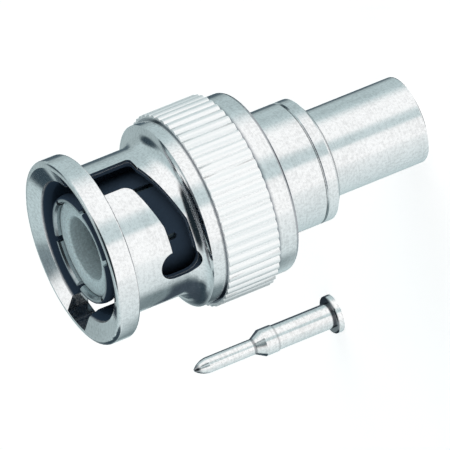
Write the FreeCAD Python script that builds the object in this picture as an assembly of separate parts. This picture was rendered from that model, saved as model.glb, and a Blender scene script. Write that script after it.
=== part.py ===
import FreeCAD, Part
import math
import os

# A BNC plug with a crimp cable entry, and the loose centre pin that goes into it.
# The plug stands on the open end of its ferrule, with its mouth up. Heights are measured
# from that end, lengths and diameters are in millimetres, and angles are in degrees
# about +Z. The pin stands beside it on its own rear flange.

Vector = FreeCAD.Vector
UP = Vector(0, 0, 1)
ORIGIN = Vector(0, 0, 0)

# Clearances
running_gap = 0.08       # radial room of the coupling nut on the body
thrust_gap = 0.03        # end room between faces that turn on each other
press_gap = 0.01         # radial room left between pieces that are pressed together
seat_gap = 0.02          # room between pieces that lie on each other
spring_gap = 0.16        # radial room of the spring washers in the nut
overrun = 1.0            # how far a cutter runs past the face that it opens

# Crimp ferrule, a loose sleeve until it is crimped over the braid
ferrule_length = 7.72
ferrule_bore = 5.50
ferrule_wall = 0.48
ferrule_end_round = 0.18

# Rear bushing: a chamfered collar, a plug pressed into the body and the crimp stem
collar_length = 1.29
collar_chamfer_length = 0.42
collar_chamfer_depth = 0.60
stem_bore = 3.10
stem_wall = 0.50
stem_end_inset = 0.60
stem_groove_depth = 0.15
stem_groove_pitch = 0.80
stem_plain_end = 0.50

# Body, the turned core that carries everything
body_length = 6.44       # from the rear bushing's collar to the back of the flange
body_wall = 1.15         # round the rear bushing's plug
seam_chamfer = 0.10
flange_proud = 1.34      # how far the flange stands out round the body
flange_thickness = 0.80
contact_seat_depth = 1.70
contact_seat_wall = 0.60
web_thickness = 0.60     # inner web between the insulator and the rear bushing
web_bore = 4.80

# Outer contact, a sleeve slit into spring fingers
contact_diameter = 7.90
contact_wall = 0.42
contact_reach = 10.16    # how far the fingers stand out of the flange
finger_count = 6
finger_slit_width = 0.45
finger_slit_length = 5.60
finger_bead_height = 0.12
finger_bead_length = 1.00
finger_slit_angle = 8.0
contact_lead = 0.15

# Insulator, with the cup that takes the mate's insulator
insulator_gap = 0.02     # radial room of the insulator in the contact sleeve
insulator_recess = 0.40  # how far its face lies below the finger tips
cup_diameter = 4.70
cup_depth = 5.00
cup_chamfer = 0.15
pin_front_gap = 0.10     # radial room of the pin's shaft in the cup's floor
pin_front_hole_length = 1.10

# Gasket at the root of the fingers
gasket_thickness = 1.10
gasket_edge_gap = 0.10
gasket_edge_round = 0.20

# Coupling nut, turned in one piece: lengths run from its back to its mouth
nut_back_length = 1.87
nut_back_wall = 0.74     # round the cavity
nut_back_round = 0.30
knurl_length = 4.03
knurl_proud = 0.48       # how far the knurl stands out of the back
knurl_depth = 0.16
knurl_teeth = 56
knurl_flat = 0.55        # part of the pitch that stays at full diameter
ring_length = 1.06
ring_step = 0.40         # how far the ring lies below the knurl
tube_length = 4.62
tube_wall = 0.58
rim_length = 1.70
rim_proud = 1.35         # how far the rim stands out of the tube
rim_front_round = 0.30
rim_back_round = 0.20
mate_room = 1.00         # radial room for the mate's barrel round the outer contact
mouth_lip = 0.43         # flat ring left in front, outside the mouth's dish
mouth_dish_length = 0.45
throat_width = 0.35      # steep lead-in between the dish and the bore
throat_length = 0.72
cavity_depth = 3.80      # bored from the back for the flange and the springs

# Bayonet slots in the nut, set out by the mate's round studs
stud_diameter = 1.66
stud_gap = 0.02
stud_proud = 0.02        # how far a stud's end stands out of the tube
keyway_gap = 0.85
slot_count = 2
entry_width = 2.50
entry_angle = -45.0      # where a stud goes in
entry_depth = 4.65       # from the mouth to the stud's centre where it starts to turn
climb_turn = 52.0        # steep stretch that pulls the stud in
climb_drop = 1.35
land_turn = 32.0         # gentle stretch before the detent
land_drop = 0.12
detent_diameter = 2.20
detent_rise = 0.85       # how far the stud springs back into the detent
tongue_round = 0.80      # metal corner between the entry and the ramp
turn_round = 0.35        # outer corner where the entry meets the ramp

# Spring stack behind the flange
wave_thickness = 0.22
wave_rise = 0.30
wave_count = 3
wave_points = 12         # points per wave on the washer's curved edges
wave_width = 0.85
spring_count = 2
washer_thickness = 0.30
closing_ring_length = 1.10
closing_ring_chamfer = 0.15

# Loose centre pin
pin_tip_length = 1.07
pin_tip_flat = 0.20
pin_tip_middle = 0.55    # part of the tip's length at which its curve is set
pin_tip_fullness = 0.72  # part of the shaft's diameter that is left there
pin_shaft_diameter = 1.20
pin_shaft_length = 3.79
pin_cone_length = 0.74
pin_collar_diameter = 2.06
pin_collar_length = 1.00
pin_barrel_diameter = 1.92
pin_barrel_length = 4.63
pin_flange_diameter = 2.90
pin_flange_length = 0.52
pin_flange_round = 0.15
pin_wire_bore = 1.02
pin_wire_depth = 3.80
pin_place_x = -11.05
pin_place_y = 28.10

# Diameters that follow from the sizes above
body_diameter = contact_diameter + 2 * (press_gap + contact_seat_wall)
flange_diameter = body_diameter + 2 * flange_proud
cavity_diameter = flange_diameter + 2 * running_gap
nut_back_diameter = cavity_diameter + 2 * nut_back_wall
knurl_diameter = nut_back_diameter + 2 * knurl_proud
ring_diameter = knurl_diameter - 2 * ring_step
nut_bore = contact_diameter + 2 * mate_room
tube_diameter = nut_bore + 2 * tube_wall
rim_diameter = tube_diameter + 2 * rim_proud
mouth_diameter = rim_diameter - 2 * mouth_lip
stud_reach = tube_diameter + 2 * stud_proud
stem_diameter = stem_bore + 2 * stem_wall

# Heights that follow
body_back = ferrule_length + seat_gap + collar_length + seat_gap
flange_back = body_back + body_length
flange_front = flange_back + flange_thickness
nut_back = flange_front + thrust_gap - cavity_depth
knurl_back = nut_back + nut_back_length
ring_back = knurl_back + knurl_length
ring_front = ring_back + ring_length
cove_radius = (ring_diameter - tube_diameter) / 2
cove_front = ring_front + cove_radius
rim_back = cove_front + tube_length
mouth = rim_back + rim_length
throat_front = mouth - mouth_dish_length
contact_back = flange_front - contact_seat_depth
contact_front = flange_front + contact_reach
web_back = contact_back - seat_gap - web_thickness
insulator_front = contact_front - insulator_recess
ramp_top = mouth - entry_depth
ramp_middle = ramp_top - climb_drop
ramp_end = ramp_middle - land_drop
middle_angle = entry_angle - climb_turn
detent_angle = middle_angle - land_turn


def at(diameter, height):
    """Corner of a turned profile, on the half plane through +X."""
    return Vector(diameter / 2, 0, height)


def turned(start, *steps):
    """Turn a closed profile about the axis.

    A step is the next corner, or a pair for an arc: a point that it runs through
    and the corner where it ends."""
    edges = []
    here = start
    for step in (*steps, start):
        if isinstance(step, tuple):
            through, end = step
            edges.append(Part.Arc(here, through, end).toShape())
        else:
            end = step
            edges.append(Part.makeLine(here, end))
        here = end
    profile = Part.Face(Part.Wire(edges))
    return profile.revolve(ORIGIN, UP, 360)


def rims(solid, diameter, height):
    """Round edges of a solid at one diameter and height."""
    found = []
    for edge in solid.Edges:
        box = edge.BoundBox
        level = abs(box.ZMin - height) < 1e-4 and abs(box.ZMax - height) < 1e-4
        if level and abs(box.XMax - diameter / 2) < 1e-4:
            found.append(edge)
    return found


def rounded(solid, radius, diameter, height):
    """Round over one rim of a turned solid."""
    return solid.makeFillet(radius, rims(solid, diameter, height))


def bevelled(solid, size, diameter, height):
    """Chamfer one rim of a turned solid."""
    return solid.makeChamfer(size, rims(solid, diameter, height))


def ring(outer, inner, low, high):
    """Plain ring between two diameters and two heights."""
    return turned(at(inner, low), at(outer, low), at(outer, high), at(inner, high))


def turned_by(solid, angle):
    """Copy of a solid, turned about the axis."""
    copy = solid.copy()
    copy.rotate(ORIGIN, UP, angle)
    return copy


def box_across(width, near, far, low, high):
    """Box that runs outward along +X, with its width across that direction."""
    return Part.makeBox(far - near, width, high - low, Vector(near, -width / 2, low))


def bar_across(diameter, near, far, height):
    """Round bar that runs outward along +X at one height."""
    return Part.makeCylinder(diameter / 2, far - near, Vector(near, 0, height), Vector(1, 0, 0))


def wrapped_edge(radius, start, end):
    """Edge on a cylinder between two (angle, height) corners: a line, circle or helix."""
    cylinder = Part.Cylinder()
    cylinder.Radius = radius
    low = FreeCAD.Base.Vector2d(math.radians(start[0]), start[1])
    high = FreeCAD.Base.Vector2d(math.radians(end[0]), end[1])
    return Part.Geom2d.Line2dSegment(low, high).toShape(cylinder)


def wrapped_block(near, far, corners):
    """Solid between two cylinders, whose outline on both has the same (angle, height) corners."""
    walls = []
    inner = []
    outer = []
    for start, end in zip(corners, corners[1:] + corners[:1]):
        inner.append(wrapped_edge(near, start, end))
        outer.append(wrapped_edge(far, start, end))
        walls.append(Part.makeRuledSurface(inner[-1], outer[-1]))
    lids = [Part.makeRuledSurface(inner[0], inner[2]), Part.makeRuledSurface(outer[0], outer[2])]
    shell = Part.Shell([face for wall in walls + lids for face in wall.Faces])
    shell.sewShape()
    solid = Part.Solid(shell)
    solid.fix(1e-5, 1e-5, 1e-4)
    if solid.Volume < 0:
        solid.reverse()
    return solid


def make_crimp_ferrule():
    """Plain tube that is pushed up against the collar."""
    outside = ferrule_bore + 2 * ferrule_wall
    tube = ring(outside, ferrule_bore, 0, ferrule_length)
    for height in (0, ferrule_length):
        tube = rounded(tube, ferrule_end_round, outside, height)
    return tube


def make_crimp_stem():
    """Rear bushing: plug in the body, collar behind it, and a grooved stem inside the ferrule."""
    collar_back = ferrule_length + seat_gap
    collar_front = collar_back + collar_length
    chamfer_front = collar_back + collar_chamfer_length
    plug = body_diameter - 2 * body_wall - 2 * press_gap
    small = body_diameter - 2 * collar_chamfer_depth
    bushing = turned(
        at(stem_bore, stem_end_inset),
        at(stem_diameter, stem_end_inset),
        at(stem_diameter, collar_back),
        at(small, collar_back),
        at(body_diameter, chamfer_front),
        at(body_diameter, collar_front),
        at(plug, collar_front),
        at(plug, web_back - seat_gap),
        at(stem_bore, web_back - seat_gap),
    )
    bushing = bevelled(bushing, seam_chamfer, body_diameter, collar_front)
    bushing = bevelled(bushing, seam_chamfer, stem_diameter, stem_end_inset)
    first = stem_end_inset + stem_plain_end
    count = int((collar_back - stem_plain_end - first) / stem_groove_pitch)
    for index in range(count):
        low = first + index * stem_groove_pitch
        floor = stem_diameter - 2 * stem_groove_depth
        groove = turned(
            at(stem_diameter + 2 * stem_groove_depth, low),
            at(floor, low + stem_groove_depth),
            at(floor, low + stem_groove_depth * 2),
            at(stem_diameter + 2 * stem_groove_depth, low + stem_groove_depth * 3),
        )
        bushing = bushing.cut(groove)
    return bushing


def make_connector_body():
    """Turned core: flange in the nut, seat for the outer contact, and bore for the bushing."""
    plug_bore = body_diameter - 2 * body_wall
    seat = contact_diameter + 2 * press_gap
    seat_floor = contact_back - seat_gap
    core = turned(
        at(plug_bore, body_back),
        at(body_diameter, body_back),
        at(body_diameter, flange_back),
        at(flange_diameter, flange_back),
        at(flange_diameter, flange_front),
        at(seat, flange_front),
        at(seat, seat_floor),
        at(web_bore, seat_floor),
        at(web_bore, web_back),
        at(plug_bore, web_back),
    )
    return bevelled(core, seam_chamfer, body_diameter, body_back)


def make_outer_contact():
    """Sleeve with a bead round its tip, slit into fingers."""
    inside = contact_diameter - 2 * contact_wall
    bead = contact_diameter + 2 * finger_bead_height
    bead_back = contact_front - finger_bead_length
    sleeve = turned(
        at(inside, contact_back),
        at(contact_diameter, contact_back),
        at(contact_diameter, bead_back),
        (at(bead, bead_back + finger_bead_length / 2), at(contact_diameter, contact_front)),
        at(inside + 2 * contact_lead, contact_front),
        at(inside, contact_front - contact_lead),
    )
    slit_floor = contact_front - finger_slit_length
    slit = box_across(finger_slit_width, 0, bead, slit_floor, contact_front + overrun)
    slit = slit.fuse(bar_across(finger_slit_width, 0, bead, slit_floor))
    for index in range(finger_count):
        sleeve = sleeve.cut(turned_by(slit, finger_slit_angle + index * 360 / finger_count))
    return sleeve


def make_insulator():
    """Turned insulator: cup at the front, stepped bore for the centre pin, neck in the web."""
    outside = contact_diameter - 2 * contact_wall - 2 * insulator_gap
    neck = web_bore - 2 * insulator_gap
    back = web_back
    cup_floor = insulator_front - cup_depth
    step = cup_floor - pin_front_hole_length
    pin_bore = pin_barrel_diameter + 2 * running_gap
    front_hole = pin_shaft_diameter + 2 * pin_front_gap
    core = turned(
        at(pin_bore, back),
        at(neck, back),
        at(neck, contact_back),
        at(outside, contact_back),
        at(outside, insulator_front),
        at(cup_diameter, insulator_front),
        at(cup_diameter, cup_floor),
        at(front_hole, cup_floor),
        at(front_hole, step),
        at(pin_bore, step),
    )
    return bevelled(core, cup_chamfer, cup_diameter, insulator_front)


def make_gasket():
    """Soft ring that lies on the flange, round the root of the fingers."""
    outside = nut_bore - 2 * gasket_edge_gap
    inside = contact_diameter + 2 * seat_gap
    low = flange_front + seat_gap
    high = low + gasket_thickness
    return rounded(ring(outside, inside, low, high), gasket_edge_round, outside, high)


def wavy_edge(diameter, height):
    """Closed edge round the axis that rises and falls evenly."""
    steps = wave_points * wave_count
    points = []
    for index in range(steps):
        angle = 2 * math.pi * index / steps
        rise = wave_rise / 2 * math.sin(wave_count * angle)
        x = diameter / 2 * math.cos(angle)
        y = diameter / 2 * math.sin(angle)
        points.append(Vector(x, y, height + rise))
    curve = Part.BSplineCurve()
    curve.interpolate(Points=points, PeriodicFlag=True)
    return curve.toShape()


def make_wave_washer(index):
    """Spring washer that waves up and down as it goes round."""
    pitch = wave_thickness + wave_rise + seat_gap
    middle = flange_back - seat_gap - (wave_thickness + wave_rise) / 2 - index * pitch
    outside = cavity_diameter - 2 * spring_gap
    inside = outside - 2 * wave_width
    low = middle - wave_thickness / 2
    high = middle + wave_thickness / 2
    corners = [(inside, low), (outside, low), (outside, high), (inside, high)]
    edges = [wavy_edge(diameter, height) for diameter, height in corners]
    faces = []
    for start, end in zip(edges, edges[1:] + edges[:1]):
        faces.extend(Part.makeRuledSurface(start, end).Faces)
    shell = Part.Shell(faces)
    shell.sewShape()
    washer = Part.Solid(shell)
    if washer.Volume < 0:
        washer.reverse()
    if index % 2:
        washer.rotate(ORIGIN, UP, 180 / wave_count)
    return washer


def washer_top():
    """Height of the thrust washer's front face, below the spring stack."""
    stack = spring_count * (wave_thickness + wave_rise + seat_gap)
    return flange_back - stack - seat_gap


def make_thrust_washer():
    """Flat washer between the springs and the closing ring."""
    outside = cavity_diameter - 2 * running_gap
    inside = body_diameter + 2 * running_gap
    top = washer_top()
    return ring(outside, inside, top - washer_thickness, top)


def make_closing_ring():
    """Ring pressed into the back of the nut, which keeps the springs in."""
    outside = cavity_diameter - 2 * press_gap
    inside = body_diameter + 2 * running_gap
    top = washer_top() - washer_thickness - thrust_gap
    low = top - closing_ring_length
    return bevelled(ring(outside, inside, low, top), closing_ring_chamfer, inside, low)


def nut_blank():
    """The nut as it comes off the lathe, before knurling and milling."""
    shoulder = nut_back + cavity_depth
    cove = cove_radius * (1 - math.sqrt(0.5))
    cove_middle = at(tube_diameter + 2 * cove, cove_front - cove_radius * math.sqrt(0.5))
    blank = turned(
        at(cavity_diameter, nut_back),
        at(nut_back_diameter, nut_back),
        at(nut_back_diameter, knurl_back),
        at(knurl_diameter, knurl_back),
        at(knurl_diameter, ring_back),
        at(ring_diameter, ring_back),
        at(ring_diameter, ring_front),
        (cove_middle, at(tube_diameter, cove_front)),
        at(tube_diameter, rim_back),
        at(rim_diameter, rim_back),
        at(rim_diameter, mouth),
        at(mouth_diameter, mouth),
        at(nut_bore + 2 * throat_width, throat_front),
        at(nut_bore, throat_front - throat_length),
        at(nut_bore, shoulder),
        at(cavity_diameter, shoulder),
    )
    blank = rounded(blank, nut_back_round, nut_back_diameter, nut_back)
    blank = rounded(blank, rim_back_round, rim_diameter, rim_back)
    return rounded(blank, rim_front_round, rim_diameter, mouth)


def knurl_cutter():
    """Ring round the knurl. Its hole has the outline of the teeth, so it cuts the grooves."""
    tip = knurl_diameter / 2
    low = knurl_back - knurl_depth
    high = ring_back + knurl_depth
    pitch = 360 / knurl_teeth
    half_groove = pitch * (1 - knurl_flat) / 2
    overshoot = 0.5      # share of its depth by which a groove's sides run past the tip
    corners = []
    for index in range(knurl_teeth):
        middle = index * pitch
        far = tip + overshoot * knurl_depth
        side = half_groove * (1 + overshoot)
        for radius, angle in (
            (tip - knurl_depth, middle),
            (far, middle + side),
            (far, middle + pitch - side),
        ):
            turn = math.radians(angle)
            corners.append(Vector(radius * math.cos(turn), radius * math.sin(turn), low))
    teeth = Part.Face(Part.makePolygon(corners + corners[:1])).extrude(UP * (high - low))
    return Part.makeCylinder(tip + 2 * knurl_depth, high - low, Vector(0, 0, low)).cut(teeth)


def bayonet_slot():
    """Cutter for one slot: keyway through the rim, helical ramp, and round detent."""
    near = contact_diameter / 2
    far = ring_diameter / 2
    width = stud_diameter + 2 * stud_gap
    keyway = stud_reach / 2 + keyway_gap
    entry = box_across(entry_width, near, far, ramp_top - width / 2, mouth + overrun)
    entry = entry.common(Part.makeCylinder(keyway, mouth + 2 * overrun))
    entry = entry.makeFillet(turn_round, [
        edge for edge in entry.Edges
        if edge.BoundBox.ZMax < ramp_top and edge.BoundBox.YMin > entry_width / 2 - 1e-3
    ])
    entry = turned_by(entry, entry_angle)
    travel = math.radians(climb_turn) * tube_diameter / 2
    half = width / 2 * math.hypot(1, climb_drop / travel)
    stretches = []
    for first, last in (
        ((entry_angle, ramp_top), (middle_angle, ramp_middle)),
        ((middle_angle, ramp_middle), (detent_angle, ramp_end)),
    ):
        stretches.append(wrapped_block(near, far, [
            (last[0], last[1] - half),
            (first[0], first[1] - half),
            (first[0], first[1] + half),
            (last[0], last[1] + half),
        ]))
    pocket = bar_across(detent_diameter, near, far, ramp_end)
    pocket = pocket.fuse(bar_across(detent_diameter, near, far, ramp_end + detent_rise))
    pocket = pocket.fuse(box_across(detent_diameter, near, far, ramp_end, ramp_end + detent_rise))
    return entry.fuse([*stretches, turned_by(pocket, detent_angle)])


def tongue_corner(nut, slot_angle):
    """Edge through the nut's wall where the entry's side meets the top of the ramp."""
    radius = (nut_bore + tube_diameter) / 4
    turn = math.radians(entry_angle + slot_angle) - math.asin(entry_width / 2 / radius)
    corner = Vector(radius * math.cos(turn), radius * math.sin(turn), ramp_top + stud_diameter / 2)
    return min(nut.Edges, key=lambda edge: edge.CenterOfMass.distanceToPoint(corner))


def make_coupling_nut():
    """Bayonet nut that turns and slides on the body."""
    nut = nut_blank().cut(knurl_cutter())
    slot = bayonet_slot()
    for index in range(slot_count):
        slot_angle = index * 360 / slot_count
        nut = nut.cut(turned_by(slot, slot_angle))
        nut = nut.makeFillet(tongue_round, [tongue_corner(nut, slot_angle)])
    return nut


def make_contact_pin():
    """Centre pin on its own axis, standing on its rear flange."""
    collar_back = pin_flange_length + pin_barrel_length
    collar_front = collar_back + pin_collar_length
    cone_front = collar_front + pin_cone_length
    shaft_front = cone_front + pin_shaft_length
    tip = shaft_front + pin_tip_length
    ogive_height = shaft_front + pin_tip_length * pin_tip_middle
    ogive = at(pin_shaft_diameter * pin_tip_fullness, ogive_height)
    wire_floor = pin_wire_depth + pin_wire_bore / 4
    pin = turned(
        at(0, wire_floor),
        at(pin_wire_bore, pin_wire_depth),
        at(pin_wire_bore, 0),
        at(pin_flange_diameter, 0),
        at(pin_flange_diameter, pin_flange_length),
        at(pin_barrel_diameter, pin_flange_length),
        at(pin_barrel_diameter, collar_back),
        at(pin_collar_diameter, collar_back),
        at(pin_collar_diameter, collar_front),
        at(pin_shaft_diameter, cone_front),
        at(pin_shaft_diameter, shaft_front),
        (ogive, at(pin_tip_flat, tip)),
        at(0, tip),
    )
    pin = rounded(pin, pin_flange_round, pin_flange_diameter, pin_flange_length)
    pin.translate(Vector(pin_place_x, pin_place_y, 0))
    return pin


def make_parts():
    """Every piece of the plug by its name."""
    parts = {
        "coupling_nut": make_coupling_nut(),
        "closing_ring": make_closing_ring(),
        "thrust_washer": make_thrust_washer(),
        "connector_body": make_connector_body(),
        "outer_contact": make_outer_contact(),
        "insulator": make_insulator(),
        "gasket": make_gasket(),
        "crimp_stem": make_crimp_stem(),
        "crimp_ferrule": make_crimp_ferrule(),
        "contact_pin": make_contact_pin(),
    }
    for index in range(spring_count):
        parts[f"wave_washer_{index + 1}"] = make_wave_washer(index)
    return parts


os.makedirs("parts", exist_ok=True)
for name, solid in make_parts().items():
    solid.exportStep(f"parts/{name}.step")
    print(name, "valid", solid.isValid(), "solids", len(solid.Solids), "volume", round(solid.Volume, 3))
print("overall length", round(mouth, 3))
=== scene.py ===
# %% [markdown]
# # A bayonet plug and its loose centre pin
# The real object is a small radio-frequency plug, turned from brass and plated with nickel.
# A bayonet nut turns on a slim body, a ring of slit spring fingers stands in the mouth round
# a pale plastic cup, and the plated centre pin stands loose beside it. The solids already
# have their true shapes, so this script is mostly about light, metal and fine surface detail.

# %% Open the tools and load the solids
import math

import bmesh
import bpy
from mathutils import Matrix, Vector


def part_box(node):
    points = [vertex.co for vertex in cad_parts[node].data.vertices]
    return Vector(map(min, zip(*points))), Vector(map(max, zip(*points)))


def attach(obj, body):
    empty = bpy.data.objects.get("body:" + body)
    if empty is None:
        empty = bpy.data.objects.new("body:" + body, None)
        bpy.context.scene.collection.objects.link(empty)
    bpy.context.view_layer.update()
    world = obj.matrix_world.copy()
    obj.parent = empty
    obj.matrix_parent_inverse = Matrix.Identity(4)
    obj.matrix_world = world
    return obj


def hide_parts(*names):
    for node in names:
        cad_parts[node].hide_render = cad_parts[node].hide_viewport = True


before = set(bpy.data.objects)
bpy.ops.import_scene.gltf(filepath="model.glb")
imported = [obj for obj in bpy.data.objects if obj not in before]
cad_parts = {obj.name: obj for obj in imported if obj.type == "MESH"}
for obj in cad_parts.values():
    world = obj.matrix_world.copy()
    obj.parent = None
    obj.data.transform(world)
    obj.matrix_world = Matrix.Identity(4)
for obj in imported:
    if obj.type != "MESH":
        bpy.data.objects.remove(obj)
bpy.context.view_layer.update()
MM = 0.001

# %% [markdown]
# ## The camera
# The photograph looks at the plug from slightly in front of its mouth, with the axis running
# across the picture. The plug stands upright here, so the same view comes from a camera that
# is rolled on its side. A very long lens far away keeps the picture free of perspective, as
# in a catalogue photograph. It is aimed with three directions: right, up and back.

# %% Aim the camera
TILT = math.radians(20.2)
ROLL = math.radians(112.0)
AIM = Vector((-2.12, 0.0, 15.68)) * MM
FRAME_WIDTH = 31.58 * MM
LENS = 1000.0
SENSOR = 36.0
NEAREST, FARTHEST = 0.2, 5.0  # what the camera sees, as parts of its distance

back = Vector((0.0, -math.cos(TILT), math.sin(TILT)))
side = Vector((1.0, 0.0, 0.0))
rise = back.cross(side)
right = side * math.cos(ROLL) - rise * math.sin(ROLL)
up = side * math.sin(ROLL) + rise * math.cos(ROLL)
camera_data = bpy.data.cameras.new("photo_camera")
camera_data.lens = LENS
camera_data.sensor_width = SENSOR
camera = bpy.data.objects.new("photo_camera", camera_data)
bpy.context.scene.collection.objects.link(camera)
distance = FRAME_WIDTH * LENS / SENSOR
turn = Matrix((right, up, back)).transposed().to_4x4()
camera.matrix_world = Matrix.Translation(AIM + back * distance) @ turn
camera_data.clip_start = distance * NEAREST
camera_data.clip_end = distance * FARTHEST
bpy.context.scene.camera = camera
bpy.context.scene.view_settings.view_transform = "Standard"
print("camera stands", round(distance, 3), "m away")

# %% [markdown]
# ## Helpers for node trees
# Every finish below is a small network of nodes. Eight short helpers keep the networks easy
# to read: they add a node and set its inputs by name, feed a socket, do a sum, map a range
# softly from 0 to 1, mix two colours, look a value up in a colour ramp, mix two shaders and
# start a material with nothing in it.

# %% Node helpers


def add_node(tree, kind, **values):
    """New node of one kind, with inputs or properties set by name."""
    node = tree.nodes.new(kind)
    for name, value in values.items():
        if name in node.inputs:
            node.inputs[name].default_value = value
        else:
            setattr(node, name, value)
    return node


def feed(tree, socket, value):
    """Give a socket a number, a colour or another node's output."""
    if isinstance(value, bpy.types.NodeSocket):
        tree.links.new(value, socket)
    else:
        socket.default_value = value


def sum_node(tree, operation, first, second=0.0):
    """Math node whose two inputs are numbers or sockets."""
    node = add_node(tree, "ShaderNodeMath", operation=operation)
    feed(tree, node.inputs[0], first)
    feed(tree, node.inputs[1], second)
    return node.outputs[0]


def soft_step(tree, value, start, end, low=0.0, high=1.0):
    """Value that goes smoothly from low to high while the input goes from start to end."""
    node = add_node(tree, "ShaderNodeMapRange", interpolation_type="SMOOTHSTEP")
    for name, number in (("Value", value), ("From Min", start), ("From Max", end),
                         ("To Min", low), ("To Max", high)):
        feed(tree, node.inputs[name], number)
    return node.outputs["Result"]


def blend_colour(tree, factor, first, second):
    """Mix of two colours, each a tuple or a socket."""
    node = add_node(tree, "ShaderNodeMix", data_type="RGBA")
    feed(tree, node.inputs["Factor"], factor)
    for name, colour in (("A", first), ("B", second)):
        feed(tree, node.inputs[name], (*colour, 1.0) if isinstance(colour, tuple) else colour)
    return node.outputs["Result"]


def colour_ramp(tree, factor, stops):
    """Colour ramp given as (place, colour) pairs."""
    node = add_node(tree, "ShaderNodeValToRGB")
    elements = node.color_ramp.elements
    while len(elements) > 1:
        elements.remove(elements[-1])
    for index, (place, colour) in enumerate(stops):
        element = elements[0] if index == 0 else elements.new(place)
        element.position = place
        element.color = (*colour, 1.0)
    tree.links.new(factor, node.inputs["Fac"])
    return node.outputs["Color"]


def mix_shaders(tree, factor, first, second):
    """The first shader where the factor is 0, and the second where it is 1."""
    node = add_node(tree, "ShaderNodeMixShader")
    for socket, source in zip(node.inputs, (factor, first, second)):
        tree.links.new(source, socket)
    return node.outputs[0]


def bare_material(name):
    """New material whose node tree holds only its output. Returns both."""
    material = bpy.data.materials.new(name)
    material.use_nodes = True
    material.node_tree.nodes.clear()
    return material, add_node(material.node_tree, "ShaderNodeOutputMaterial")


# %% [markdown]
# ## The tent
# Polished metal has hardly any colour of its own: it shows the room. The room of the
# photograph is a bright tent with two wide white panels in front, a greyer gap between them
# where the camera looks in, and cool grey sides behind. A world can paint that room by
# direction: the angle round the upright axis is worked out with a few Math nodes and looked
# up in a colour ramp, which is easier to adjust than a dozen lamps. The grey cloth has a cool
# tint, and the white panels have none.

# %% Paint the tent into the world
TENT = (
    # angle round the axis from the camera in degrees, brightness
    (-180, 0.47), (-163, 0.44), (-140, 0.47), (-130, 0.60), (-110, 0.57), (-100, 0.60),
    (-90, 0.68), (-80, 0.86), (-68, 1.03), (-25, 1.03), (-19, 0.84), (-12, 0.72), (3, 0.70),
    (8, 1.03), (48, 1.03), (54, 0.92), (72, 0.87), (92, 0.82), (115, 0.77), (155, 0.66),
    (180, 0.50),
)
COOL = (0.20, 0.03, 0.0)  # what red, green and blue lose where the cloth is grey
COOL_BELOW, COOL_SPAN = 0.98, 0.33
NIGHT = (0.45, 0.22, 0.0)  # and what they lose again where it is nearly black
NIGHT_BELOW, NIGHT_SPAN = 0.30, 0.25


def tent_grey(level):
    """Grey of the tent's cloth: the darker it is, the cooler, and navy where it is near black."""
    cool = min(1.0, max(0.0, (COOL_BELOW - level) / COOL_SPAN))
    night = min(1.0, max(0.0, (NIGHT_BELOW - level) / NIGHT_SPAN))
    return tuple(level * (1 - cool * a) * (1 - night * b) for a, b in zip(COOL, NIGHT))


world = bpy.data.worlds.new("tent")
bpy.context.scene.world = world
world.use_nodes = True
sky = world.node_tree
sky.nodes.clear()
look = add_node(sky, "ShaderNodeTexCoord").outputs["Generated"]
axes = add_node(sky, "ShaderNodeSeparateXYZ")
sky.links.new(look, axes.inputs[0])
angle = sum_node(
    sky, "ARCTAN2",
    sum_node(sky, "MULTIPLY", axes.outputs["X"], -1.0),
    sum_node(sky, "MULTIPLY", axes.outputs["Y"], -1.0),
)
place = sum_node(sky, "ADD", sum_node(sky, "DIVIDE", angle, 2 * math.pi), 0.5)
room = colour_ramp(sky, place, [((a + 180) / 360, tent_grey(level)) for a, level in TENT])
print("tent has", len(TENT), "stops")

# %% [markdown]
# ## What hangs in the tent
# A photographer shapes reflections with flags and small lamps. The hollow between the nut's
# tube and its ring is curved and mirrors the whole room, so it shows what was there: a dark
# opening overhead on the camera's side, dark gaps in the cloth behind on both sides, and high
# up behind a small grey flag and a small lamp. A white sheet lies round a dark foot below.
# Each is a soft round patch of the world, mixed in by the angle between the direction looked
# at and the patch's centre, which is a dot product.

# %% Hang the flags and the lamp
PATCHES = (
    # angle round the axis, height above the floor, radius where it starts to fade, radius
    # where it ends (all in degrees), brightness
    (0, -90, 38, 54, 1.08),  # white sheet below
    (0, -90, 10, 24, 0.06),  # dark foot in its middle
    (30, 68, 25, 36, 0.025),  # opening overhead
    (-161, -22, 5, 16, 0.14),  # gaps behind on the left, and cloth between them
    (-137, 31, 8, 18, 0.07),
    (-168, 10, 8, 18, 0.48),
    (143, 10, 18, 27, 0.07),  # gaps behind on the right
    (163, 16, 9, 15, 0.08),
    (169, -8, 6, 11, 0.08),
    (178, 66, 4, 10, 0.22),  # small grey flag
    (-160, 56, 4, 9, 1.05),  # small lamp
)


def toward(azimuth, height):
    """Unit direction from an angle round the axis, from the camera side, and a height."""
    azimuth, height = math.radians(azimuth), math.radians(height)
    level = math.cos(height)
    return Vector((-math.sin(azimuth) * level, -math.cos(azimuth) * level, math.sin(height)))


for azimuth, height, inner, outer, level in PATCHES:
    near = add_node(sky, "ShaderNodeVectorMath", operation="DOT_PRODUCT")
    sky.links.new(look, near.inputs[0])
    near.inputs[1].default_value = toward(azimuth, height)
    patch = soft_step(sky, near.outputs["Value"],
                      math.cos(math.radians(outer)), math.cos(math.radians(inner)))
    room = blend_colour(sky, patch, room, tent_grey(level))
rays = add_node(sky, "ShaderNodeLightPath")
seen = blend_colour(sky, rays.outputs["Is Camera Ray"], room, (1.0, 1.0, 1.0))
shine = add_node(sky, "ShaderNodeBackground")
sky.links.new(seen, shine.inputs["Color"])
output = add_node(sky, "ShaderNodeOutputWorld")
sky.links.new(shine.outputs[0], output.inputs["Surface"])
print("patches in the tent:", len(PATCHES))

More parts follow.
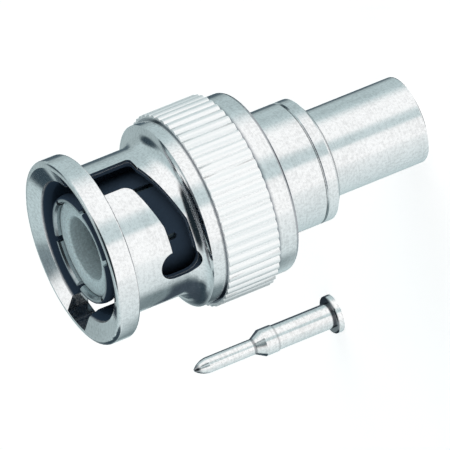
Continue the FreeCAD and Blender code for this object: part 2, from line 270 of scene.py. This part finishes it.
# %% [markdown]
# ## The floor
# The photograph is cut out on pure white. The floor is a wide sheet of white paper with a
# faint glow for the camera alone, just enough to lift the paper to white, so that the soft
# shadow where the plug and the pin stand stays on it. Farther out it turns to plain white, so
# that no edge shows. Shiny rays pass through it to the tent, because the tent of the
# photograph wraps below the plug.

# %% Lay the paper
FLOOR_RADIUS = 0.30
FLOOR_SIDES = 96
bpy.ops.object.select_all(action="DESELECT")
bpy.ops.mesh.primitive_circle_add(vertices=FLOOR_SIDES, radius=FLOOR_RADIUS, fill_type="NGON")
floor = bpy.context.active_object
floor.name = "floor"
print("floor is", round(2 * FLOOR_RADIUS, 2), "m across")

# %% Make it white
PAPER = (0.92, 0.92, 0.92)
GLOW = (0.59, 0.575, 0.57)
WHITE = (1.0, 1.0, 1.0)
WHITE_FROM, WHITE_AT = 0.2 * FLOOR_RADIUS, 0.8 * FLOOR_RADIUS
paper, out = bare_material("floor_paper")
tree = paper.node_tree
rays = add_node(tree, "ShaderNodeLightPath")
matte = add_node(tree, "ShaderNodeBsdfDiffuse", Color=(*PAPER, 1))
glow = add_node(tree, "ShaderNodeEmission", Color=(*GLOW, 1))
tree.links.new(rays.outputs["Is Camera Ray"], glow.inputs["Strength"])
both = add_node(tree, "ShaderNodeAddShader")
tree.links.new(matte.outputs[0], both.inputs[0])
tree.links.new(glow.outputs[0], both.inputs[1])
white = add_node(tree, "ShaderNodeEmission", Color=(*WHITE, 1))
reach = add_node(tree, "ShaderNodeVectorMath", operation="LENGTH")
tree.links.new(add_node(tree, "ShaderNodeTexCoord").outputs["Object"], reach.inputs[0])
edge = soft_step(tree, reach.outputs["Value"], WHITE_FROM, WHITE_AT)
sheet = mix_shaders(tree, edge, both.outputs[0], white.outputs[0])
clear = add_node(tree, "ShaderNodeBsdfTransparent")
through = sum_node(tree, "MAXIMUM", rays.outputs["Is Glossy Ray"], rays.outputs["Is Shadow Ray"])
tree.links.new(mix_shaders(tree, through, sheet, clear.outputs[0]), out.inputs["Surface"])
floor.data.materials.append(paper)
print("the paper turns to plain white between", round(WHITE_FROM, 2), "and",
      round(WHITE_AT, 2), "m from the middle")

# %% [markdown]
# ## Three dark cards
# The underside of the tube and the ring is darker in the photograph than the rim or the body,
# the hollow between them is darker still, and the pin has a thin dark line along its top
# edge. These are dark reflections of shade, and three small dark cards paint them in here.
# Only shiny rays can see the cards, so they throw no shadow and never show by themselves,
# and their edges are soft.

# %% Stand the cards
NUT_CARD_TONE = (0.19, 0.245, 0.26)
DARK_CARD_TONE = (0.05, 0.07, 0.09)


def stand_card(name, low, high, fade, tone):
    """Upright card that only shiny rays see, for a painted reflection of shade.

    Its opposite corners and the width of its soft edges along x, y and z are given in mm.
    """
    low, high, fade = Vector(low) * MM, Vector(high) * MM, Vector(fade) * MM
    bpy.ops.object.select_all(action="DESELECT")
    bpy.ops.mesh.primitive_plane_add(size=1.0, location=(0, 0, 0))
    card = bpy.context.active_object
    card.name = name
    ends = ((low.x, low.y, low.z), (high.x, high.y, low.z),
            (low.x, low.y, high.z), (high.x, high.y, high.z))
    for vertex, end in zip(card.data.vertices, ends):
        vertex.co = end
    tinted, out = bare_material(name)
    tree = tinted.node_tree
    spot = add_node(tree, "ShaderNodeSeparateXYZ")
    tree.links.new(add_node(tree, "ShaderNodeTexCoord").outputs["Object"], spot.inputs[0])
    cover = add_node(tree, "ShaderNodeLightPath").outputs["Is Glossy Ray"]
    for axis, first, last, soft in zip("XYZ", low, high, fade):
        if first != last:
            for edge, inward in ((first, first + soft), (last, last - soft)):
                cover = sum_node(tree, "MULTIPLY", cover,
                                 soft_step(tree, spot.outputs[axis], edge, inward))
    clear = add_node(tree, "ShaderNodeBsdfTransparent")
    dark = add_node(tree, "ShaderNodeEmission", Color=(*tone, 1))
    tree.links.new(mix_shaders(tree, cover, clear.outputs[0], dark.outputs[0]),
                   out.inputs["Surface"])
    card.data.materials.append(tinted)
    print(name, "is", round((high.z - low.z) / MM, 1), "mm high")


# Each card paints a dark reflection of shade on the metal beside it.
stand_card("nut_card", (-14.0, -2.0, 6.5), (-14.0, 24.0, 25.0), (0, 5.0, 5.0), NUT_CARD_TONE)
stand_card("pin_card", (-11.5, 33.0, -3.0), (-1.0, 33.0, 12.0), (1.6, 0, 0.8), DARK_CARD_TONE)
stand_card("cove_card", (-7.7, -2.8, 18.5), (-7.7, 9.0, 21.3), (0, 2.4, 0.7), DARK_CARD_TONE)

# %% [markdown]
# ## Where a point lies on a turned piece
# Everything here came off a lathe, so its marks follow two numbers: the distance from the
# axis and the height along it. Both come from Object coordinates. The pin stands beside the
# plug, so its own axis is given as a centre.

# %% Radius and height in millimetres


def lathe_place(tree, centre=(0.0, 0.0)):
    """Sockets with the point, its distance from the axis and its height, all in mm."""
    point = add_node(tree, "ShaderNodeTexCoord").outputs["Object"]
    shift = add_node(tree, "ShaderNodeMapping", vector_type="POINT")
    shift.inputs["Location"].default_value = (-centre[0] / MM, -centre[1] / MM, 0.0)
    shift.inputs["Scale"].default_value = (1 / MM, 1 / MM, 1 / MM)
    tree.links.new(point, shift.inputs["Vector"])
    parts = add_node(tree, "ShaderNodeSeparateXYZ")
    tree.links.new(shift.outputs[0], parts.inputs[0])
    flat = add_node(tree, "ShaderNodeCombineXYZ")
    tree.links.new(parts.outputs["X"], flat.inputs["X"])
    tree.links.new(parts.outputs["Y"], flat.inputs["Y"])
    radius = add_node(tree, "ShaderNodeVectorMath", operation="LENGTH")
    tree.links.new(flat.outputs[0], radius.inputs[0])
    return shift.outputs[0], radius.outputs["Value"], parts.outputs["Z"]


def noise_on(tree, vector, scale, detail=3.0):
    """Grey noise between 0 and 1 on a vector, with so many grains to the unit."""
    node = add_node(tree, "ShaderNodeTexNoise", Scale=scale, Detail=detail)
    tree.links.new(vector, node.inputs["Vector"])
    return node.outputs["Fac"]


def tool_rings(tree, radius, height, scale, detail=3.0):
    """Noise that changes only with the radius and the height, as turning marks do."""
    place = add_node(tree, "ShaderNodeCombineXYZ")
    tree.links.new(radius, place.inputs["X"])
    tree.links.new(height, place.inputs["Y"])
    return noise_on(tree, place.outputs[0], scale, detail)


def cut_rings(tree, shader, rings, strength, depth):
    """Let the tool rings tilt the light, with a bump of this depth."""
    bump = add_node(tree, "ShaderNodeBump", Strength=strength, Distance=depth)
    tree.links.new(rings, bump.inputs["Height"])
    tree.links.new(bump.outputs[0], shader.inputs["Normal"])


# %% [markdown]
# ## Plated metal
# Nickel plate on turned brass has three layers of detail. Fine rings from the cutting tool
# run round it, a soft uneven haze of handling dulls it in patches, and a tiny grain of the
# plating bath breaks up the reflections. Light hardly reaches the corners and hollows, so an
# Ambient Occlusion node finds them and mixes in a dark tone there as painted shade. Near the
# floor that node would find the floor too, so it is faded out there.

# %% Painted shade in corners and seams
CORNER_REACH = 2.6 * MM
CORNER_SAMPLES = 8
FLOOR_CORNER = (0.2, 2.4)  # heights in mm between which the floor's own corner fades out
SEAM_CORE = 0.3  # part of a seam's half width where the painted shade is full


def corner_shade(tree, height, open_at, closed_at):
    """1 in the open and 0 in deep corners, without the corner that the floor makes."""
    corner = add_node(tree, "ShaderNodeAmbientOcclusion", samples=CORNER_SAMPLES,
                      Distance=CORNER_REACH)
    above = soft_step(tree, height, *FLOOR_CORNER)
    shade = soft_step(tree, corner.outputs["AO"], closed_at, open_at)
    covered = sum_node(tree, "MULTIPLY", sum_node(tree, "SUBTRACT", 1.0, shade), above)
    return sum_node(tree, "SUBTRACT", 1.0, covered)


def seam_shade(tree, height, seams):
    """1 on unshaded metal, less where shade is painted into a seam.

    Each seam is its height and half its width in mm, and how dark its painted shade is.
    """
    unshaded = 1.0
    for at, half, darkness in seams:
        away = sum_node(tree, "ABSOLUTE", sum_node(tree, "SUBTRACT", height, at))
        unshaded = sum_node(tree, "MULTIPLY", unshaded,
                         soft_step(tree, away, half * SEAM_CORE, half, 1 - darkness, 1.0))
    return unshaded


# %% A maker for plated finishes
RING_SCALE, RING_SHARE = 9.0, 0.25  # grains to the millimetre, and share in the tone
HAZE_SCALE, HAZE_SHARE = 0.45, 0.20
GRAIN_SCALE, GRAIN_SHARE = 5.0, 0.55
TONE_SPAN = (0.34, 0.60)
WORN = 0.80  # how bright the plating is where it is worn
HAZE_ROUGHNESS = 0.16
RING_ROUGHNESS = 0.08
RING_BUMP, RING_DEPTH = 0.10, 0.01 * MM


def around_middle(tree, noise, span):
    """Noise moved from between 0 and 1 to between minus and plus half of a span."""
    return sum_node(tree, "MULTIPLY", sum_node(tree, "SUBTRACT", noise, 0.5), span)


def plated(name, colour, roughness, shadow=None, centre=(0.0, 0.0), open_at=0.70,
           closed_at=0.25, seams=()):
    """Plated metal with tool rings, haze and grain. Returns what it is made of.

    Corners and seams get the shadow's colour as painted shade. Without one, the caller colours
    the metal.
    """
    finish = bpy.data.materials.new(name)
    finish.use_nodes = True
    tree = finish.node_tree
    shader = tree.nodes["Principled BSDF"]
    shader.inputs["Metallic"].default_value = 1.0
    point, radius, height = lathe_place(tree, centre)
    rings = tool_rings(tree, radius, height, RING_SCALE)
    haze = noise_on(tree, point, HAZE_SCALE)
    grain = noise_on(tree, point, GRAIN_SCALE)
    tone = sum_node(tree, "MULTIPLY", rings, RING_SHARE)
    for noise, share in ((grain, GRAIN_SHARE), (haze, HAZE_SHARE)):
        tone = sum_node(tree, "ADD", tone, sum_node(tree, "MULTIPLY", noise, share))
    worn = tuple(part * WORN for part in colour)
    bright = blend_colour(tree, soft_step(tree, tone, *TONE_SPAN), worn, colour)
    # Painted shade: corners found by Ambient Occlusion and thin lines at the seams darken the
    # colour.
    shade = corner_shade(tree, height, open_at, closed_at)
    shade = sum_node(tree, "MULTIPLY", shade, seam_shade(tree, height, seams))
    if shadow:
        feed(tree, shader.inputs["Base Color"], blend_colour(tree, shade, shadow, bright))
    rough = sum_node(tree, "ADD", roughness, around_middle(tree, haze, HAZE_ROUGHNESS))
    rough = sum_node(tree, "ADD", rough, around_middle(tree, rings, RING_ROUGHNESS))
    feed(tree, shader.inputs["Roughness"], rough)
    cut_rings(tree, shader, rings, RING_BUMP, RING_DEPTH)
    return {"material": finish, "tree": tree, "shader": shader, "radius": radius,
            "height": height, "bright": bright, "shade": shade, "rough": rough}


# %% [markdown]
# ## Body and ferrule
# The body and its collar are turned and then plated. The ferrule is a drawn and annealed
# tube, a little softer in its shine. Both only need the plain plated finish with their own
# numbers, and a line of painted shade where the ferrule ends under the collar.

# %% Body and ferrule finishes
NICKEL = (0.93, 0.945, 0.95)
# Painted shade colour for the corners and seams of the body and ferrule.
BODY_SHADE = (0.05, 0.065, 0.08)
BODY_SEAMS = ((7.80, 0.22, 0.8),)
FERRULE_SEAMS = ((7.66, 0.26, 0.6),)
finishes = {}
finishes["nickel_body"] = plated(
    "nickel_body", NICKEL, roughness=0.15, shadow=BODY_SHADE, seams=BODY_SEAMS)["material"]
finishes["nickel_ferrule"] = plated(
    "nickel_ferrule", NICKEL, roughness=0.17, shadow=BODY_SHADE, seams=FERRULE_SEAMS)["material"]
print("finishes:", sorted(finishes))

# %% [markdown]
# ## The bayonet nut
# The nut needs two more things. Its knurl was pressed by a wheel, which leaves the teeth
# satin white instead of mirror bright, so a mask by radius gives everything beyond the ring
# a higher roughness and a paler tone. Its bore sees almost no light, and the slots look
# black in the photograph because of that, so a second mask paints shade on all metal nearer
# to the axis than the middle of the tube's wall: a dark colour with its shine taken away. In
# the mouth this painted shade is a little darker. Thin lines of painted shade sit at the
# knurl's two ends, at the nut's back and under the rim, at known heights.

# %% Painted shade for hollow places
HOLLOW_SHADE = (0.046, 0.070, 0.105)
SHINE = 0.5  # specular level of a plain surface


def shade_hollows(metal, open_air, lit, dark, bright):
    """Bright metal where open_air is 1, and painted shade, dark and without shine, where it is 0.
    """
    tree, shader = metal["tree"], metal["shader"]
    lit = sum_node(tree, "MULTIPLY", lit, open_air)
    feed(tree, shader.inputs["Base Color"], blend_colour(tree, lit, dark, bright))
    feed(tree, shader.inputs["Metallic"], open_air)
    feed(tree, shader.inputs["Specular IOR Level"], sum_node(tree, "MULTIPLY", open_air, SHINE))


# %% Nut finish
MOUTH_SHADE = (0.035, 0.058, 0.09)
MOUTH_FLOOR, MOUTH_FADE = 24.9, 0.4
BORE_END, TUBE_MIDDLE = 5.20, 5.34
KNURL_START, KNURL_FADE = 6.93, 0.05
KNURL_WHITE = (0.98, 0.985, 0.985)
KNURL_SATIN = 0.33  # what the knurl adds to the roughness
# Heights in mm, half widths and darkness of thin lines of painted shade.
NUT_SEAMS = (
    (12.60, 0.26, 0.70),  # the nut's back edge
    (14.39, 0.45, 0.75),  # back ring and knurl
    (18.46, 0.13, 0.32),  # knurl and front ring
    (25.37, 0.14, 0.60),  # under the rim
)
nut = plated("nickel_nut", NICKEL, roughness=0.13, seams=NUT_SEAMS)
tree = nut["tree"]
knurl = soft_step(tree, nut["radius"], KNURL_START, KNURL_START + KNURL_FADE)
outside = soft_step(tree, nut["radius"], BORE_END, TUBE_MIDDLE)
in_mouth = soft_step(tree, nut["height"], MOUTH_FLOOR, MOUTH_FLOOR + MOUTH_FADE)
# Painted shade in the bore, the slots and the mouth, and at the seams; the knurl is kept out of
# it.
shade_hollows(nut, outside,
                lit=sum_node(tree, "MAXIMUM", nut["shade"], knurl),
                dark=blend_colour(tree, in_mouth, HOLLOW_SHADE, MOUTH_SHADE),
                bright=blend_colour(tree, knurl, nut["bright"], KNURL_WHITE))
satin = sum_node(tree, "ADD", nut["rough"], sum_node(tree, "MULTIPLY", knurl, KNURL_SATIN))
feed(tree, nut["shader"].inputs["Roughness"], satin)
finishes["nickel_nut"] = nut["material"]
print("knurl starts at radius", KNURL_START, "mm")

# %% [markdown]
# ## The spring fingers
# The ring of fingers is plated too, but only its front edge catches light. Its outside faces
# the dark bore and shows through the slots, so a mask by radius paints the same shade on it
# as on the bore.

# %% Contact finish
CONTACT_METAL = (0.50, 0.55, 0.57)
# Radii in mm between which the fingers' outside turns from bright metal to painted shade.
TIP_BRIGHT, TIP_DARK = 3.78, 3.90
contact = plated("contact_plate", CONTACT_METAL, roughness=0.26, open_at=0.60, closed_at=0.15)
inside = soft_step(contact["tree"], contact["radius"], TIP_BRIGHT, TIP_DARK, 1.0, 0.0)
shade_hollows(contact, inside, contact["shade"], HOLLOW_SHADE, contact["bright"])
finishes["contact_plate"] = contact["material"]
print("the fingers are bright up to radius", TIP_BRIGHT, "mm")

# %% [markdown]
# ## Springs and washer
# Behind the nut's ring, out of sight, two wave springs and a washer pull the mated plug
# tight. They are bare steel: a warmer and darker grey than the plating, with the same tool
# rings.

# %% Spring finish
SPRING_STEEL = (0.55, 0.54, 0.52)
# Painted shade colour for the springs' corners.
SPRING_SHADE = (0.03, 0.03, 0.03)
finishes["spring_metal"] = plated(
    "spring_metal", SPRING_STEEL, roughness=0.28, shadow=SPRING_SHADE)["material"]
print("finishes:", sorted(finishes))

# %% [markdown]
# ## The pin
# The pin has the brightest plating of all. Its finish is centred on its own axis, so that
# the tool rings run round it, and painted shade sits where its diameters meet and at its
# tip.

# %% Pin finish
pin_low, pin_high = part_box("contact_pin")
pin_axis = ((pin_low[0] + pin_high[0]) / 2, (pin_low[1] + pin_high[1]) / 2)
PIN_METAL = (0.95, 0.96, 0.96)
# Painted shade colour for the pin's corners, seams and tip.
PIN_SHADE = (0.05, 0.06, 0.08)
PIN_SEAMS = (
    (0.55, 0.20, 0.75),  # flange and barrel
    (5.15, 0.12, 0.35),  # barrel and collar
    (6.92, 0.16, 0.60),  # cone and shaft
    (11.70, 0.45, 0.70),  # the tip
)
finishes["pin_plate"] = plated("pin_plate", PIN_METAL, roughness=0.16, shadow=PIN_SHADE,
                               centre=pin_axis, seams=PIN_SEAMS)["material"]
print("pin axis in mm:", [round(v / MM, 2) for v in pin_axis])

# %% [markdown]
# ## Plastic and rubber
# The cup is turned from a milky fluoroplastic: pale, waxy and slightly uneven, with fine
# tool rings on its front. Its hollow gets painted shade, darker the deeper it gets. The gasket at
# the fingers' root is black rubber with a dusty bloom.

# %% A maker for the two soft finishes
SOFT_SCALE, SOFT_RINGS = 7.0, 0.3  # grains to the millimetre, and the rings' share
SOFT_SPAN = (0.45, 0.85)
SOFT_BUMP, SOFT_DEPTH = 0.15, 0.02 * MM
ROUGH_SWING, ROUGH_SPAN = 0.06, (0.2, 0.8)
CUP_GLOOM, CUP_EDGE = 23.0, 26.05  # heights in mm
CUP_LIT = (0.40, 0.72)  # how much of the pale tone is left at these heights
CUP_FADE = 0.09


def moulded(name, colour, shadow, roughness, unevenness, open_at, closed_at, cup=0.0):
    """Plastic or rubber with rings, mottling, and painted shade in corners and in a cup of this
    radius.
    """
    finish = bpy.data.materials.new(name)
    finish.use_nodes = True
    tree = finish.node_tree
    shader = tree.nodes["Principled BSDF"]
    point, radius, height = lathe_place(tree)
    rings = tool_rings(tree, radius, height, SOFT_SCALE, detail=2.0)
    mottle = noise_on(tree, point, SOFT_SCALE)
    tone = sum_node(tree, "ADD", sum_node(tree, "MULTIPLY", rings, SOFT_RINGS), mottle)
    dull = tuple(part * (1 - unevenness) for part in colour)
    pale = blend_colour(tree, soft_step(tree, tone, *SOFT_SPAN), dull, colour)
    # Painted shade in corners, and in the cup, darker the deeper it is.
    shade = corner_shade(tree, height, open_at, closed_at)
    if cup:
        deeper = soft_step(tree, height, CUP_GLOOM, CUP_EDGE, *CUP_LIT)
        wall = soft_step(tree, radius, cup, cup + CUP_FADE, deeper, 1.0)
        shade = sum_node(tree, "MULTIPLY", shade, wall)
    feed(tree, shader.inputs["Base Color"], blend_colour(tree, shade, shadow, pale))
    feed(tree, shader.inputs["Roughness"], soft_step(
        tree, mottle, *ROUGH_SPAN, roughness - ROUGH_SWING, roughness + ROUGH_SWING))
    cut_rings(tree, shader, rings, SOFT_BUMP, SOFT_DEPTH)
    return finish


# %% Plastic and rubber finishes
CUP_RADIUS = 2.35
# The shadow colours are painted shade for corners and, in the plastic, for the cup.
finishes["insulator_plastic"] = moulded(
    "insulator_plastic", colour=(0.80, 0.96, 0.99), shadow=(0.030, 0.062, 0.082),
    roughness=0.42, unevenness=0.28, open_at=1.0, closed_at=0.05, cup=CUP_RADIUS)
finishes["gasket_rubber"] = moulded(
    "gasket_rubber", colour=(0.045, 0.045, 0.048), shadow=(0.012, 0.012, 0.014),
    roughness=0.55, unevenness=0.35, open_at=0.8, closed_at=0.2)
print("finishes:", sorted(finishes))

# %% [markdown]
# ## Rounded teeth on the nut
# A knurling wheel presses its teeth into the metal, so their crests come out rounded, while
# the solid's teeth are flat with sharp edges. The nut is otherwise right, so a copy of its
# mesh is a good start: its loose triangles are merged at their shared corners, the long
# edges of the crests are picked by their place and their angle, and a bevel rounds them.
# The solid's smooth shading is worth keeping too: wherever a corner of the copy still lies on
# a corner of the solid, it takes the solid's normal, and only the new faces get new ones.

# %% Copy the nut and merge its corners
SAME_PLACE = 0.0005 * MM
bpy.ops.object.select_all(action="DESELECT")
solid_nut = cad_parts["coupling_nut"]
worn_nut = bpy.data.objects.new("coupling_nut_pressed", solid_nut.data.copy())
bpy.context.scene.collection.objects.link(worn_nut)
worn_nut.select_set(True)
bpy.context.view_layer.objects.active = worn_nut
bpy.ops.object.mode_set(mode="EDIT")
bpy.ops.mesh.select_all(action="SELECT")
bpy.ops.mesh.remove_doubles(threshold=SAME_PLACE)
bpy.ops.mesh.customdata_custom_splitnormals_clear()
print("nut has", len(worn_nut.data.vertices), "corners before merging")

# %% Pick the crests' long edges and round them
CREST_RADIUS = 7.20 * MM
CREST_SLACK = 0.02 * MM
CREST_LENGTH = 0.3 * MM
CREST_BEND = math.radians(15)
CREST_ROUND, CREST_STEPS = 0.15 * MM, 3
bpy.ops.mesh.select_mode(type="EDGE")
bpy.ops.mesh.select_all(action="DESELECT")
nut_mesh = bmesh.from_edit_mesh(worn_nut.data)
picked = 0
for edge in nut_mesh.edges:
    low, high = (corner.co for corner in edge.verts)
    on_crest = min(low.xy.length, high.xy.length) > CREST_RADIUS - CREST_SLACK
    upright = abs(low.z - high.z) > CREST_LENGTH
    if on_crest and upright and edge.is_manifold and edge.calc_face_angle() > CREST_BEND:
        edge.select = True
        picked += 1
bmesh.update_edit_mesh(worn_nut.data)
bpy.ops.mesh.bevel(offset=CREST_ROUND, segments=CREST_STEPS, profile=0.5, affect="EDGES")
bpy.ops.mesh.select_all(action="SELECT")
bpy.ops.mesh.dissolve_degenerate(threshold=SAME_PLACE)
bpy.ops.object.mode_set(mode="OBJECT")
print("rounded", picked, "crest edges; the nut has", len(worn_nut.data.polygons), "faces")

# %% Keep the solid's smooth shading
SMOOTH_UNDER = math.radians(30)
SAME_FACE = math.cos(math.radians(25))


def grid_place(vertex):
    """Place of a vertex in hundredths of a millimetre, as a key."""
    return tuple(round(v / MM, 2) for v in vertex.co)


bpy.ops.object.shade_smooth_by_angle(angle=SMOOTH_UNDER)
solid_normals = {}
for corner, normal in zip(solid_nut.data.loops, solid_nut.data.corner_normals):
    place = grid_place(solid_nut.data.vertices[corner.vertex_index])
    solid_normals.setdefault(place, []).append(normal.vector.copy())
normals = [normal.vector.copy() for normal in worn_nut.data.corner_normals]
kept = 0
for face in worn_nut.data.polygons:
    for index in face.loop_indices:
        place = grid_place(worn_nut.data.vertices[worn_nut.data.loops[index].vertex_index])
        nearest = max(solid_normals.get(place, ()), key=face.normal.dot, default=None)
        if nearest is not None and nearest.dot(face.normal) > SAME_FACE:
            normals[index] = nearest
            kept += 1
worn_nut.data.normals_split_custom_set(normals)
print("shading kept from the solid at", kept, "of", len(normals), "corners")

# %% Put the worn nut in the solid's place
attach(worn_nut, "bayonet_nut")
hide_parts("coupling_nut")
worn_nut.data.materials.clear()
worn_nut.data.materials.append(finishes["nickel_nut"])
print(worn_nut.name, "replaces", solid_nut.name)

# %% [markdown]
# ## Dress the solids
# Each solid came with named material slots, so a finish goes to every slot of its name. The
# solids themselves are never touched.

# %% Put each finish in its slot
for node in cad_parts.values():
    for slot in node.material_slots:
        name = slot.material.name.split(".")[0]
        slot.material = finishes[name]
        print(node.name, "wears", name)
